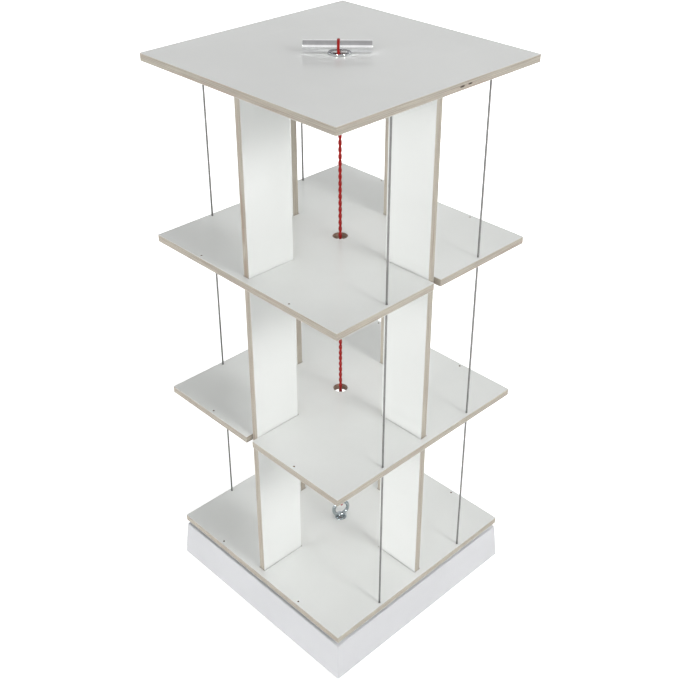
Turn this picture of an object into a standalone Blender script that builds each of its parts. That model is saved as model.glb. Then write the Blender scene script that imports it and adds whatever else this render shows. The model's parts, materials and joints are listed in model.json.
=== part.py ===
# Book tower: square laminated boards stacked on upright panels and clamped by one twisted cord.
# A tommy bar, seated in a rosette that turns in the top board, winds the cord, and an eye bolt
# holds its lower end. The tower turns on a ball bearing above a flared sheet-metal plinth.
# Metres, +Z up. The origin is on the floor under the centre, and the front faces -Y.

import bmesh
import bpy
import numpy as np
from math import cos, hypot, pi, radians, sin, sqrt, tau
from mathutils import Matrix, Vector

# Fits
FIT_GAP = 0.0003  # between pieces that seat on or in each other
CUT_MARGIN = 0.002  # how far a cutter stands out of the face it opens

# Boards, from the floor up
BOARD_NAMES = ("bottom_board", "lower_shelf", "upper_shelf", "top_board")
LOWEST_BOARD, HIGHEST_BOARD = BOARD_NAMES[0], BOARD_NAMES[-1]
BOARD_SIDE = 0.500
BOARD_THICKNESS = 0.015
LEVEL_HEIGHT = 0.345  # clear height for books
CORD_HOLE_DIAMETER = 0.030  # in the two shelves

# Upright panels: name, side, board below, board above
PANELS = (
    ("right_short_panel", "right", "bottom_board", "lower_shelf"),
    ("right_long_panel", "right", "lower_shelf", "top_board"),
    ("back_long_panel", "back", "bottom_board", "upper_shelf"),
    ("back_short_panel", "back", "upper_shelf", "top_board"),
    ("left_short_panel", "left", "bottom_board", "lower_shelf"),
    ("left_long_panel", "left", "lower_shelf", "top_board"),
    ("front_long_panel", "front", "bottom_board", "upper_shelf"),
    ("front_short_panel", "front", "upper_shelf", "top_board"),
)
PANEL_THICKNESS = 0.015
PANEL_WIDTH = 0.107
PANEL_SETBACK = 0.015  # from the board's edge to the panel's outer edge
HOUSING_DEPTH = 0.004  # shallow groove that a panel's end stands in

# Book-stop rods
ROD_DIAMETER = 0.004
ROD_INSET = 0.008  # from the board's edge to the rod's axis
ROD_SPACING = 0.246
ROD_SOCKET_DEPTH = 0.008  # blind holes in the top and bottom boards

# Rosette on the top board, a ring whose sleeve turns in the board
ROSETTE_WIDTH = 0.007  # from the bore to the outer edge
ROSETTE_HEIGHT = 0.0036
ROSETTE_EDGE_ROUND = 0.0009
ROSETTE_MOUTH_ROUND = 0.0024  # where the cord runs over the ring's inner edge
ROSETTE_SLEEVE_WALL = 0.0015
ROSETTE_SLEEVE_LENGTH = 0.011
SADDLE_DEPTH = 0.0024  # how deep the bar lies in the ring

# Tommy bar
BAR_DIAMETER = 0.022
BAR_LENGTH = 0.1225
BAR_END_RADIUS = 0.0010
BAR_ANGLE = radians(44.5)  # its heading over the top board
BAR_SLIDE = -0.0041  # how far its middle lies off the axis, along the heading

# Twisted cord
STRAND_DIAMETER = 0.0028
STRAND_GAP = 0.00045  # between the two strands
CORD_TURNS = 36
POINTS_PER_TURN = 8
TWIST_RUN_IN = 0.012  # length over which the twist starts and stops
SPREAD_MARGIN = 1.05  # spare length where the strands part round a bar
LOOP_LEAN = -0.0023  # how far the loop hangs off the axis, along the bar
LOOP_CLEARANCE = 0.0008  # between the loop and the rosette's bore

# Eye bolt
EYE_DIAMETER = 0.043  # outside of the ring
EYE_SECTION = 0.008
EYE_COLLAR_DIAMETER = 0.0275
EYE_COLLAR_HEIGHT = 0.005
EYE_SINK = 0.002  # how deep the ring is forged into the collar
EYE_SHANK_DIAMETER = 0.008
EYE_SHANK_END = 0.0014  # thread showing below the nut
EYE_ANGLE = radians(72)  # heading of the ring's plane
WASHER_DIAMETER = 0.016
WASHER_THICKNESS = 0.0016
NUT_ACROSS_FLATS = 0.013
NUT_HEIGHT = 0.005
COUNTERBORE_DIAMETER = 0.022
COUNTERBORE_DEPTH = 0.006

# Swivel bearing
RACE_DIAMETER = 0.260  # circle that the balls run on
BALL_DIAMETER = 0.006
BALL_COUNT = 12
RING_THICKNESS = 0.0035
RING_GAP = 0.0034  # between the two rings
RACE_CLEARANCE = 0.0005  # round a ball, in the grooves of the rings
RACE_LAND = 0.008  # ring width kept past the balls' circle
RING_FLANGE = 0.020  # ring width that takes the screws
CAGE_THICKNESS = 0.0014
CAGE_WIDTH = 0.012

# Countersunk screws of the bearing rings
SCREWS_PER_RING = 4
SCREW_DIAMETER = 0.004
SCREW_HEAD_DIAMETER = 0.008
SCREW_HEAD_HEIGHT = 0.0022
SCREW_RIM = 0.0003
SCREW_POINT = 0.001
SCREW_BITE = 0.009  # into the bottom board
SCREW_TAIL = 0.003  # below the plinth's top sheet

# Plinth
PLINTH_HEIGHT = 0.085
PLINTH_FLARE = 0.0065  # each side, from top to bottom
PLINTH_SHEET = 0.003
PLINTH_EDGE_RADIUS = 0.003
PLINTH_LIP = 0.026  # turned-in flange along the bottom

# Glides
GLIDE_DIAMETER = 0.022
GLIDE_HEIGHT = 0.002
GLIDE_CHAMFER = 0.0006
GLIDE_STEM_DIAMETER = 0.006
GLIDE_STEM_LENGTH = 0.007

# Facets
ROD_SIDES = 10
HOLE_SIDES = 28
BAR_SIDES = 24
ROSETTE_SIDES = 32
RING_SIDES = 48
SCREW_SIDES = 10
EYE_SIDES = 24
EYE_SECTION_SIDES = 10
BALL_SIDES = 8
BALL_BANDS = 6
PLINTH_BEND_SEGMENTS = 3
ARC_STEPS = 5
SPREAD_STEPS = 8
WRAP_STEPS = 12
SMOOTH_ANGLE = radians(35)
MERGE_DISTANCE = 1e-6

# Heights worked out from the sizes above
PLINTH_BOTTOM_Z = GLIDE_HEIGHT + FIT_GAP
PLINTH_TOP_Z = PLINTH_BOTTOM_Z + PLINTH_HEIGHT
LOWER_RING_Z = PLINTH_TOP_Z + FIT_GAP
BALL_Z = LOWER_RING_Z + RING_THICKNESS + RING_GAP / 2
UPPER_RING_Z = LOWER_RING_Z + RING_THICKNESS + RING_GAP
BOARD_BASE_Z = UPPER_RING_Z + RING_THICKNESS + FIT_GAP
TOP_Z = BOARD_BASE_Z + len(BOARD_NAMES) * BOARD_THICKNESS + (len(BOARD_NAMES) - 1) * LEVEL_HEIGHT
ROSETTE_Z = TOP_Z + FIT_GAP
BAR_Z = ROSETTE_Z + ROSETTE_HEIGHT - SADDLE_DEPTH + BAR_DIAMETER / 2

# Radii worked out from the sizes above
ROD_HOLE_RADIUS = ROD_DIAMETER / 2 + FIT_GAP
BAR_WRAP = BAR_DIAMETER / 2 + FIT_GAP + STRAND_DIAMETER / 2  # middle of the strand round the bar
EYE_WRAP = EYE_SECTION / 2 + FIT_GAP + STRAND_DIAMETER / 2
BORE_RADIUS = hypot(BAR_WRAP, LOOP_LEAN) + STRAND_DIAMETER / 2 + LOOP_CLEARANCE
SLEEVE_RADIUS = BORE_RADIUS + ROSETTE_SLEEVE_WALL
RACE_RADIUS = RACE_DIAMETER / 2
RACE_SECTION_RADIUS = BALL_DIAMETER / 2 + RACE_CLEARANCE
LOWER_SCREW_RADIUS = RACE_RADIUS + (RACE_LAND + RING_FLANGE) / 2
UPPER_SCREW_RADIUS = RACE_RADIUS - (RACE_LAND + RING_FLANGE) / 2

# A chord between two points of a turn passes nearer to the axis than the points do
LAY_RADIUS = (STRAND_DIAMETER + STRAND_GAP) / 2 / cos(pi / POINTS_PER_TURN)

SIDE_ANGLES = {"right": 0.0, "back": pi / 2, "left": pi, "front": 3 * pi / 2}


def board_bottom(name):
    return BOARD_BASE_Z + BOARD_NAMES.index(name) * (BOARD_THICKNESS + LEVEL_HEIGHT)


def board_top(name):
    return board_bottom(name) + BOARD_THICKNESS


# Scene helpers

def clear_scene():
    for item in list(bpy.data.objects):
        bpy.data.objects.remove(item, do_unlink=True)


def finish(name, colour, roughness, metallic=0.0):
    material = bpy.data.materials.new(name)
    material.use_nodes = True
    shader = material.node_tree.nodes["Principled BSDF"]
    shader.inputs["Base Color"].default_value = (*colour, 1.0)
    shader.inputs["Roughness"].default_value = roughness
    shader.inputs["Metallic"].default_value = metallic
    return material


def link(name, data, parent=None, matrix=Matrix()):
    item = bpy.data.objects.new(name, data)
    bpy.context.scene.collection.objects.link(item)
    if parent:
        item.parent = parent
        item.matrix_parent_inverse = parent.matrix_world.inverted()
    item.matrix_basis = matrix
    return item


def pivot(name, height, parent=None):
    # An empty on the upright axis, which the pieces of one moving body hang on
    empty = link(name, None, parent, Matrix.Translation((0, 0, height)))
    bpy.context.view_layer.update()
    return empty


def make_mesh(name, bm, material=None):
    bmesh.ops.recalc_face_normals(bm, faces=bm.faces)
    mesh = bpy.data.meshes.new(name)
    bm.to_mesh(mesh)
    bm.free()
    mesh.shade_smooth()
    mesh.set_sharp_from_angle(angle=SMOOTH_ANGLE)
    if material:
        mesh.materials.append(material)
    return mesh


def combine(item, bm, operation, suffix):
    # Cuts a helper shape out of a piece, or joins it to the piece
    name = f"{item.name}_{suffix}"
    helper = link(name, make_mesh(name, bm), item.parent)
    helper.hide_render = True
    helper.display_type = "WIRE"
    modifier = item.modifiers.new(suffix, "BOOLEAN")
    modifier.object = helper
    modifier.operation = operation
    modifier.solver = "EXACT"


# Shapes

def add_box(bm, low, high, angle=0.0):
    # A box between two corners, turned about the upright axis
    low, high = Vector(low), Vector(high)
    size = Matrix.Diagonal((*(high - low), 1.0))
    turn = Matrix.Rotation(angle, 4, "Z")
    bmesh.ops.create_cube(bm, size=1.0, matrix=turn @ Matrix.Translation((low + high) / 2) @ size)


def add_drum(bm, radius, low, high, centre=(0.0, 0.0), sides=HOLE_SIDES):
    middle = Matrix.Translation((*centre, (low + high) / 2))
    bmesh.ops.create_cone(bm, cap_ends=True, segments=sides, radius1=radius, radius2=radius,
                          depth=high - low, matrix=middle)


def add_frustum(bm, bottom_side, top_side, low, high):
    # A square block whose four sides lean
    middle = Matrix.Translation((0, 0, (low + high) / 2)) @ Matrix.Rotation(pi / 4, 4, "Z")
    bmesh.ops.create_cone(bm, cap_ends=True, segments=4, radius1=bottom_side / sqrt(2),
                          radius2=top_side / sqrt(2), depth=high - low, matrix=middle)


def add_turned(bm, profile, sides, matrix=Matrix()):
    # Turns an outline of (radius, height) points: a closed ring, or one that ends on the axis
    points = [bm.verts.new((radius, 0, height)) for radius, height in profile]
    following = points[1:]
    if profile[0][0] > 0:
        following = following + points[:1]
    edges = [bm.edges.new(pair) for pair in zip(points, following)]
    bmesh.ops.spin(bm, geom=points + edges, axis=(0, 0, 1), angle=tau, steps=sides)
    bmesh.ops.remove_doubles(bm, verts=bm.verts, dist=MERGE_DISTANCE)
    bmesh.ops.transform(bm, matrix=matrix, verts=bm.verts)


def arc(centre, radii, start, end, steps=ARC_STEPS):
    # Points on a stretch of an ellipse in an outline
    angles = [start + (end - start) * step / steps for step in range(steps + 1)]
    return [(centre[0] + radii[0] * cos(a), centre[1] + radii[1] * sin(a)) for a in angles]


def around(count, radius, offset=0.0):
    angles = [offset + tau * index / count for index in range(count)]
    return [(radius * cos(a), radius * sin(a)) for a in angles]


# Boards, panels and rods

def rod_places(side):
    turn = Matrix.Rotation(SIDE_ANGLES[side], 4, "Z")
    reach = BOARD_SIDE / 2 - ROD_INSET
    return [(turn @ Vector((reach, across, 0))).xy for across in (-ROD_SPACING / 2, ROD_SPACING / 2)]


def add_panel_seats(bm, board):
    # A board between a panel's ends is notched from its edge, a board at an end is grooved
    outer = BOARD_SIDE / 2 - PANEL_SETBACK + FIT_GAP
    inner = BOARD_SIDE / 2 - PANEL_SETBACK - PANEL_WIDTH - FIT_GAP
    half = PANEL_THICKNESS / 2 + FIT_GAP
    low, high = board_bottom(board) - CUT_MARGIN, board_top(board) + CUT_MARGIN
    for name, side, below, above in PANELS:
        angle = SIDE_ANGLES[side]
        if board == below:
            add_box(bm, (inner, -half, board_top(board) - HOUSING_DEPTH), (outer, half, high), angle)
        elif board == above:
            add_box(bm, (inner, -half, low), (outer, half, board_bottom(board) + HOUSING_DEPTH), angle)
        elif board_top(below) < low and high < board_bottom(above):
            edge = BOARD_SIDE / 2 + CUT_MARGIN
            add_box(bm, (inner, -half, low), (edge, half, high), angle)


def add_rod_holes(bm, board):
    # Every side has its pair of holes, so the rods can be set on any side
    low, high = board_bottom(board) - CUT_MARGIN, board_top(board) + CUT_MARGIN
    if board == LOWEST_BOARD:
        low = board_top(board) - ROD_SOCKET_DEPTH
    if board == HIGHEST_BOARD:
        high = board_bottom(board) + ROD_SOCKET_DEPTH
    for side in SIDE_ANGLES:
        for place in rod_places(side):
            add_drum(bm, ROD_HOLE_RADIUS, low, high, place, ROD_SIDES)


def make_board(name, centre_hole_radius, material, parent):
    half = BOARD_SIDE / 2
    low, high = board_bottom(name), board_top(name)
    bm = bmesh.new()
    add_box(bm, (-half, -half, low), (half, half, high))
    board = link(name, make_mesh(name, bm, material), parent)
    bm = bmesh.new()
    add_panel_seats(bm, name)
    add_rod_holes(bm, name)
    add_drum(bm, centre_hole_radius, low - CUT_MARGIN, high + CUT_MARGIN)
    combine(board, bm, "DIFFERENCE", "cuts")
    return board


def make_panel(name, side, below, above, material, parent):
    outer = BOARD_SIDE / 2 - PANEL_SETBACK
    half = PANEL_THICKNESS / 2
    low = board_top(below) - HOUSING_DEPTH + FIT_GAP
    high = board_bottom(above) + HOUSING_DEPTH - FIT_GAP
    bm = bmesh.new()
    add_box(bm, (outer - PANEL_WIDTH, -half, low), (outer, half, high), SIDE_ANGLES[side])
    link(name, make_mesh(name, bm, material), parent)


def make_rods(material, parent):
    low = board_top(LOWEST_BOARD) - ROD_SOCKET_DEPTH + FIT_GAP
    high = board_bottom(HIGHEST_BOARD) + ROD_SOCKET_DEPTH - FIT_GAP
    for side in ("right", "left"):
        for number, place in enumerate(rod_places(side), start=1):
            name = f"{side}_rod_{number}"
            bm = bmesh.new()
            add_drum(bm, ROD_DIAMETER / 2, low, high, place, ROD_SIDES)
            link(name, make_mesh(name, bm, material), parent)


# Rosette and tommy bar

LAY_ALONG_BAR = Matrix.Rotation(BAR_ANGLE, 4, "Z") @ Matrix.Rotation(pi / 2, 4, "Y")


def make_rosette(material, parent):
    edge = BORE_RADIUS + ROSETTE_WIDTH
    top = ROSETTE_Z + ROSETTE_HEIGHT
    sleeve_end = ROSETTE_Z - ROSETTE_SLEEVE_LENGTH
    lip, corner = ROSETTE_MOUTH_ROUND, ROSETTE_EDGE_ROUND
    mouth = arc((BORE_RADIUS + lip, top - lip), (lip, lip), pi, pi / 2)
    rim = arc((edge - corner, top - corner), (corner, corner), pi / 2, 0, 3)
    sleeve = [(edge, ROSETTE_Z), (SLEEVE_RADIUS, ROSETTE_Z), (SLEEVE_RADIUS, sleeve_end), (BORE_RADIUS, sleeve_end)]
    bm = bmesh.new()
    add_turned(bm, mouth + rim + sleeve, ROSETTE_SIDES)
    rosette = link("rosette", make_mesh("rosette", bm, material), parent)
    bm = bmesh.new()
    add_drum(bm, BAR_DIAMETER / 2 + FIT_GAP, -edge - CUT_MARGIN, edge + CUT_MARGIN, sides=BAR_SIDES)
    bmesh.ops.transform(bm, matrix=Matrix.Translation((0, 0, BAR_Z)) @ LAY_ALONG_BAR, verts=bm.verts)
    combine(rosette, bm, "DIFFERENCE", "saddle")


def make_bar(material, parent):
    radius, half, round_off = BAR_DIAMETER / 2, BAR_LENGTH / 2, BAR_END_RADIUS
    top = arc((radius - round_off, half - round_off), (round_off, round_off), pi / 2, 0, 3)
    bottom = [(r, -height) for r, height in reversed(top)]
    slide = Matrix.Translation((0, 0, BAR_SLIDE))
    bm = bmesh.new()
    add_turned(bm, [(0, half)] + top + bottom + [(0, -half)], BAR_SIDES, LAY_ALONG_BAR @ slide)
    # The piece's own origin is on the upright axis, at the bar's height
    link("tommy_bar", make_mesh("tommy_bar", bm, material), parent, Matrix.Translation((0, 0, BAR_Z)))


# Eye bolt

EYE_SEAT_Z = board_top(LOWEST_BOARD) + FIT_GAP
EYE_RING_RADIUS = (EYE_DIAMETER - EYE_SECTION) / 2
EYE_CENTRE_Z = EYE_SEAT_Z + EYE_COLLAR_HEIGHT - EYE_SINK + EYE_DIAMETER / 2
EYE_TOP_BAR_Z = EYE_CENTRE_Z + EYE_RING_RADIUS
WASHER_Z = board_bottom(LOWEST_BOARD) + COUNTERBORE_DEPTH - FIT_GAP - WASHER_THICKNESS
NUT_Z = WASHER_Z - FIT_GAP - NUT_HEIGHT


def make_eye_bolt(material, parent):
    collar, shank = EYE_COLLAR_DIAMETER / 2, EYE_SHANK_DIAMETER / 2
    neck = EYE_SECTION / 2
    collar_top = EYE_SEAT_Z + EYE_COLLAR_HEIGHT
    shoulder = EYE_SEAT_Z + EYE_COLLAR_HEIGHT / 2
    outline = [(0, collar_top)] + arc((neck, shoulder), (collar - neck, collar_top - shoulder), pi / 2, 0)
    outline += [(collar, EYE_SEAT_Z), (shank, EYE_SEAT_Z), (shank, NUT_Z - EYE_SHANK_END)]
    bm = bmesh.new()
    add_turned(bm, outline + [(0, NUT_Z - EYE_SHANK_END)], EYE_SIDES)
    bolt = link("eye_bolt", make_mesh("eye_bolt", bm, material), parent)
    upright = Matrix.Rotation(EYE_ANGLE, 4, "Z") @ Matrix.Rotation(pi / 2, 4, "X")
    section = arc((EYE_RING_RADIUS, 0), (EYE_SECTION / 2, EYE_SECTION / 2), 0, tau, EYE_SECTION_SIDES)
    bm = bmesh.new()
    add_turned(bm, section[:-1], EYE_SIDES, Matrix.Translation((0, 0, EYE_CENTRE_Z)) @ upright)
    combine(bolt, bm, "UNION", "ring")


def make_eye_fastening(material, parent):
    hole = EYE_SHANK_DIAMETER / 2 + FIT_GAP
    washer = WASHER_DIAMETER / 2
    washer_top = WASHER_Z + WASHER_THICKNESS
    bm = bmesh.new()
    add_turned(bm, [(hole, washer_top), (washer, washer_top), (washer, WASHER_Z), (hole, WASHER_Z)],
               EYE_SIDES)
    link("eye_washer", make_mesh("eye_washer", bm, material), parent)
    bm = bmesh.new()
    add_drum(bm, NUT_ACROSS_FLATS / 2 / cos(pi / 6), NUT_Z, NUT_Z + NUT_HEIGHT, sides=6)
    nut = link("eye_nut", make_mesh("eye_nut", bm, material), parent)
    bm = bmesh.new()
    add_drum(bm, hole, NUT_Z - CUT_MARGIN, NUT_Z + NUT_HEIGHT + CUT_MARGIN, sides=EYE_SIDES)
    combine(nut, bm, "DIFFERENCE", "bore")


# Twisted cord: one doubled strand, round the eye below and round the bar above

def spread_height(wrap):
    # The shortest rise in which the strands part without touching what they run round
    return SPREAD_MARGIN * pi * sqrt(wrap * (wrap - LAY_RADIUS) / 2)


LOOP_DROP = BAR_Z - TOP_Z  # straight length of the loop beside the bar
LOOP_END_Z = TOP_Z - spread_height(BAR_WRAP) - STRAND_DIAMETER
CORD_TOP_Z = LOOP_END_Z - FIT_GAP
TWIST_TOP_Z = CORD_TOP_Z - STRAND_DIAMETER
TWIST_BOTTOM_Z = EYE_TOP_BAR_Z + spread_height(EYE_WRAP)


def bight(wrap, drop):
    # Outline of the cord round a bar, as (offset, rise) from the bar's axis: the strands part below the drop
    spread = spread_height(wrap)
    shares = [step / SPREAD_STEPS for step in range(SPREAD_STEPS)]
    leg = [(LAY_RADIUS + (wrap - LAY_RADIUS) * (1 - cos(pi * s)) / 2, spread * (s - 1) - drop) for s in shares]
    if drop > 0:
        leg.append((wrap, -drop))
    crown = arc((0, 0), (wrap, wrap), 0, pi, WRAP_STEPS)
    return leg + crown + [(-offset, height) for offset, height in reversed(leg)]


def upright_points(outline, heading, height, direction):
    # Stands an (offset, rise) outline in the upright plane of a heading
    across = Vector((cos(heading), sin(heading), 0))
    return [across * offset + Vector((0, 0, height + direction * rise)) for offset, rise in outline]


def strand_points(first_heading, last_heading):
    # One strand from the loop down to the eye: straight end, twist with soft start and stop
    length = TWIST_TOP_Z - TWIST_BOTTOM_Z
    twist = last_heading - first_heading - tau * CORD_TURNS
    rate = twist / (length - TWIST_RUN_IN)
    count = CORD_TURNS * POINTS_PER_TURN
    points = [Vector((LAY_RADIUS * cos(first_heading), LAY_RADIUS * sin(first_heading), CORD_TOP_Z))]
    for step in range(count):
        down = length * step / count
        left = length - down
        turned = rate * (down - TWIST_RUN_IN / 2)
        if down < TWIST_RUN_IN:
            turned = rate * down ** 2 / (2 * TWIST_RUN_IN)
        if left < TWIST_RUN_IN:
            turned = twist - rate * left ** 2 / (2 * TWIST_RUN_IN)
        heading = first_heading + turned
        points.append(Vector((LAY_RADIUS * cos(heading), LAY_RADIUS * sin(heading), TWIST_TOP_Z - down)))
    return points


def cord_points():
    bar_heading = BAR_ANGLE + pi / 2
    eye_heading = EYE_ANGLE + pi / 2
    down = strand_points(bar_heading, eye_heading)
    up = strand_points(bar_heading + pi, eye_heading + pi)
    return down + upright_points(bight(EYE_WRAP, 0.0), eye_heading, EYE_TOP_BAR_Z, -1) + up[::-1]


def loop_points():
    # The loop leans along the bar, from nothing at its lower ends to its full lean at the top board
    outline = bight(BAR_WRAP, LOOP_DROP)
    offset, end = outline[0][0], LOOP_END_Z - BAR_Z
    outline = [(offset, end)] + outline + [(-offset, end)]
    along = Vector((cos(BAR_ANGLE), sin(BAR_ANGLE), 0))
    points = upright_points(outline, BAR_ANGLE + pi / 2, BAR_Z, 1)
    shares = [min((point.z - LOOP_END_Z) / (TOP_Z - LOOP_END_Z), 1.0) for point in points]
    return [point + along * (LOOP_LEAN * share) for point, share in zip(points, shares)]


def least_gap(points):
    # Free space between stretches of the cord that lie well apart along its length
    middles = [(a + b) / 2 for a, b in zip(points, points[1:])]
    route = np.array([p for pair in zip(points, middles) for p in pair] + points[-1:])
    steps = np.linalg.norm(np.diff(route, axis=0), axis=1)
    travel = np.concatenate(([0.0], np.cumsum(steps)))
    apart = np.linalg.norm(route[:, None] - route[None], axis=2)
    elsewhere = np.abs(travel[:, None] - travel[None]) > 3 * STRAND_DIAMETER
    return apart[elsewhere].min() - STRAND_DIAMETER


def make_cord(name, points, material, parent):
    curve = bpy.data.curves.new(name, "CURVE")
    curve.dimensions = "3D"
    curve.bevel_depth = STRAND_DIAMETER / 2
    curve.bevel_resolution = 1
    curve.use_fill_caps = True
    curve.materials.append(material)
    spline = curve.splines.new("POLY")
    spline.points.add(len(points) - 1)
    for point, place in zip(spline.points, points):
        point.co = (*place, 1.0)
    spline.use_smooth = True
    link(name, curve, parent)
    print(f"{name}: {len(points)} points, least gap to itself {least_gap(points) * 1000:.2f} mm")


# Swivel bearing

def screw_outline(length, clearance=0.0):
    # Countersunk screw with its head at height 0 and its point down
    head = SCREW_HEAD_DIAMETER / 2 + clearance
    shank = SCREW_DIAMETER / 2 + clearance
    return [(0, 0), (head, 0), (head, -SCREW_RIM - clearance), (shank, -SCREW_HEAD_HEIGHT - clearance),
            (shank, -length + SCREW_POINT), (shank / 2, -length), (0, -length)]


def screw_hole_outline(length):
    # The same outline with clearance, open above the head
    outline = screw_outline(length, FIT_GAP)
    return [(0, CUT_MARGIN), (outline[1][0], CUT_MARGIN)] + outline[2:]


def screw_places(radius):
    return around(SCREWS_PER_RING, radius, pi / SCREWS_PER_RING)


def make_ring(name, inner, outer, low, race_up, screw_radius, material, parent):
    # A flat ring with a round groove for the balls, in its top face or in its underside
    high = low + RING_THICKNESS
    face, back = (high, low) if race_up else (low, high)
    reach = sqrt(RACE_SECTION_RADIUS ** 2 - (RING_GAP / 2) ** 2)
    share = np.arctan2(RING_GAP / 2, reach)
    tip = -1 if race_up else 1
    groove = arc((RACE_RADIUS, BALL_Z), (RACE_SECTION_RADIUS, tip * RACE_SECTION_RADIUS), share, pi - share, 4)
    bm = bmesh.new()
    add_turned(bm, [(inner, back), (outer, back), (outer, face)] + groove + [(inner, face)], RING_SIDES)
    ring = link(name, make_mesh(name, bm, material), parent)
    bm = bmesh.new()
    flip = Matrix() if race_up else Matrix.Rotation(pi, 4, "X")
    for x, y in screw_places(screw_radius):
        hole = bmesh.new()
        seat = Matrix.Translation((x, y, face)) @ flip
        add_turned(hole, screw_hole_outline(RING_THICKNESS + SCREW_BITE), SCREW_SIDES, seat)
        mesh = make_mesh("screw_hole", hole)
        bm.from_mesh(mesh)
        bpy.data.meshes.remove(mesh)
    combine(ring, bm, "DIFFERENCE", "screw_holes")


def make_screws(prefix, radius, height, length, point_down, material, parent):
    bm = bmesh.new()
    add_turned(bm, screw_outline(length), SCREW_SIDES, Matrix() if point_down else Matrix.Rotation(pi, 4, "X"))
    mesh = make_mesh(prefix, bm, material)
    for number, (x, y) in enumerate(screw_places(radius), start=1):
        link(f"{prefix}_{number}", mesh, parent, Matrix.Translation((x, y, height)))


def make_cage(material, parent):
    half = CAGE_WIDTH / 2
    low, high = BALL_Z - CAGE_THICKNESS / 2, BALL_Z + CAGE_THICKNESS / 2
    inner, outer = RACE_RADIUS - half, RACE_RADIUS + half
    bm = bmesh.new()
    add_turned(bm, [(inner, high), (outer, high), (outer, low), (inner, low)], RING_SIDES)
    cage = link("ball_cage", make_mesh("ball_cage", bm, material), parent)
    bm = bmesh.new()
    for place in around(BALL_COUNT, RACE_RADIUS):
        add_drum(bm, BALL_DIAMETER / 2 + FIT_GAP, low - CUT_MARGIN, high + CUT_MARGIN, place, BALL_SIDES)
    combine(cage, bm, "DIFFERENCE", "pockets")


def make_balls(material, parent):
    bm = bmesh.new()
    bmesh.ops.create_uvsphere(bm, u_segments=BALL_SIDES, v_segments=BALL_BANDS, radius=BALL_DIAMETER / 2)
    mesh = make_mesh("ball", bm, material)
    for number, (x, y) in enumerate(around(BALL_COUNT, RACE_RADIUS), start=1):
        link(f"ball_{number:02d}", mesh, parent, Matrix.Translation((x, y, BALL_Z)))


# Plinth and glides

def plinth_side(height):
    # Outside width at a height above the plinth's lower edge
    return BOARD_SIDE + 2 * PLINTH_FLARE * (1 - height / PLINTH_HEIGHT)


def glide_places():
    reach = plinth_side(0) / 2 - PLINTH_LIP / 2
    return [(x * reach, y * reach) for x in (-1, 1) for y in (-1, 1)]


def make_plinth(material, parent):
    bm = bmesh.new()
    add_frustum(bm, plinth_side(0), plinth_side(PLINTH_HEIGHT), PLINTH_BOTTOM_Z, PLINTH_TOP_Z)
    bends = [edge for edge in bm.edges if max(v.co.z for v in edge.verts) > PLINTH_BOTTOM_Z + PLINTH_SHEET]
    bmesh.ops.bevel(bm, geom=bends, offset=PLINTH_EDGE_RADIUS, segments=PLINTH_BEND_SEGMENTS, profile=0.5,
                    affect="EDGES")
    plinth = link("plinth", make_mesh("plinth", bm, material), parent)
    floor, ceiling = PLINTH_SHEET, PLINTH_HEIGHT - PLINTH_SHEET
    bm = bmesh.new()
    add_frustum(bm, plinth_side(floor) - 2 * PLINTH_SHEET, plinth_side(ceiling) - 2 * PLINTH_SHEET,
                PLINTH_BOTTOM_Z + floor, PLINTH_BOTTOM_Z + ceiling)
    combine(plinth, bm, "DIFFERENCE", "hollow")
    mouth = plinth_side(0) / 2 - PLINTH_LIP
    bm = bmesh.new()
    low, high = PLINTH_BOTTOM_Z - CUT_MARGIN, PLINTH_BOTTOM_Z + PLINTH_SHEET + CUT_MARGIN
    add_box(bm, (-mouth, -mouth, low), (mouth, mouth, high))
    for place in glide_places():
        add_drum(bm, GLIDE_STEM_DIAMETER / 2 + FIT_GAP, low, high, place, SCREW_SIDES)
    for place in screw_places(LOWER_SCREW_RADIUS):
        add_drum(bm, SCREW_DIAMETER / 2 + FIT_GAP, PLINTH_TOP_Z - PLINTH_SHEET - CUT_MARGIN,
                 PLINTH_TOP_Z + CUT_MARGIN, place, SCREW_SIDES)
    combine(plinth, bm, "DIFFERENCE", "openings")


def make_glides(material, parent):
    pad, stem, chamfer = GLIDE_DIAMETER / 2, GLIDE_STEM_DIAMETER / 2, GLIDE_CHAMFER
    outline = [(0, GLIDE_HEIGHT + GLIDE_STEM_LENGTH), (stem, GLIDE_HEIGHT + GLIDE_STEM_LENGTH),
               (stem, GLIDE_HEIGHT), (pad, GLIDE_HEIGHT), (pad, chamfer), (pad - chamfer, 0), (0, 0)]
    bm = bmesh.new()
    add_turned(bm, outline, SCREW_SIDES)
    mesh = make_mesh("glide", bm, material)
    for number, (x, y) in enumerate(glide_places(), start=1):
        link(f"glide_{number}", mesh, parent, Matrix.Translation((x, y, 0)))


def add_bottom_board_cuts(board):
    # Counterbore for the eye bolt's nut and pilot holes for the upper ring's screws
    underside = board_bottom(LOWEST_BOARD)
    low = underside - CUT_MARGIN
    bm = bmesh.new()
    add_drum(bm, COUNTERBORE_DIAMETER / 2, low, underside + COUNTERBORE_DEPTH)
    for place in screw_places(UPPER_SCREW_RADIUS):
        add_drum(bm, SCREW_DIAMETER / 2 + FIT_GAP, low, underside + SCREW_BITE + FIT_GAP, place, SCREW_SIDES)
    combine(board, bm, "DIFFERENCE", "underside")


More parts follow.
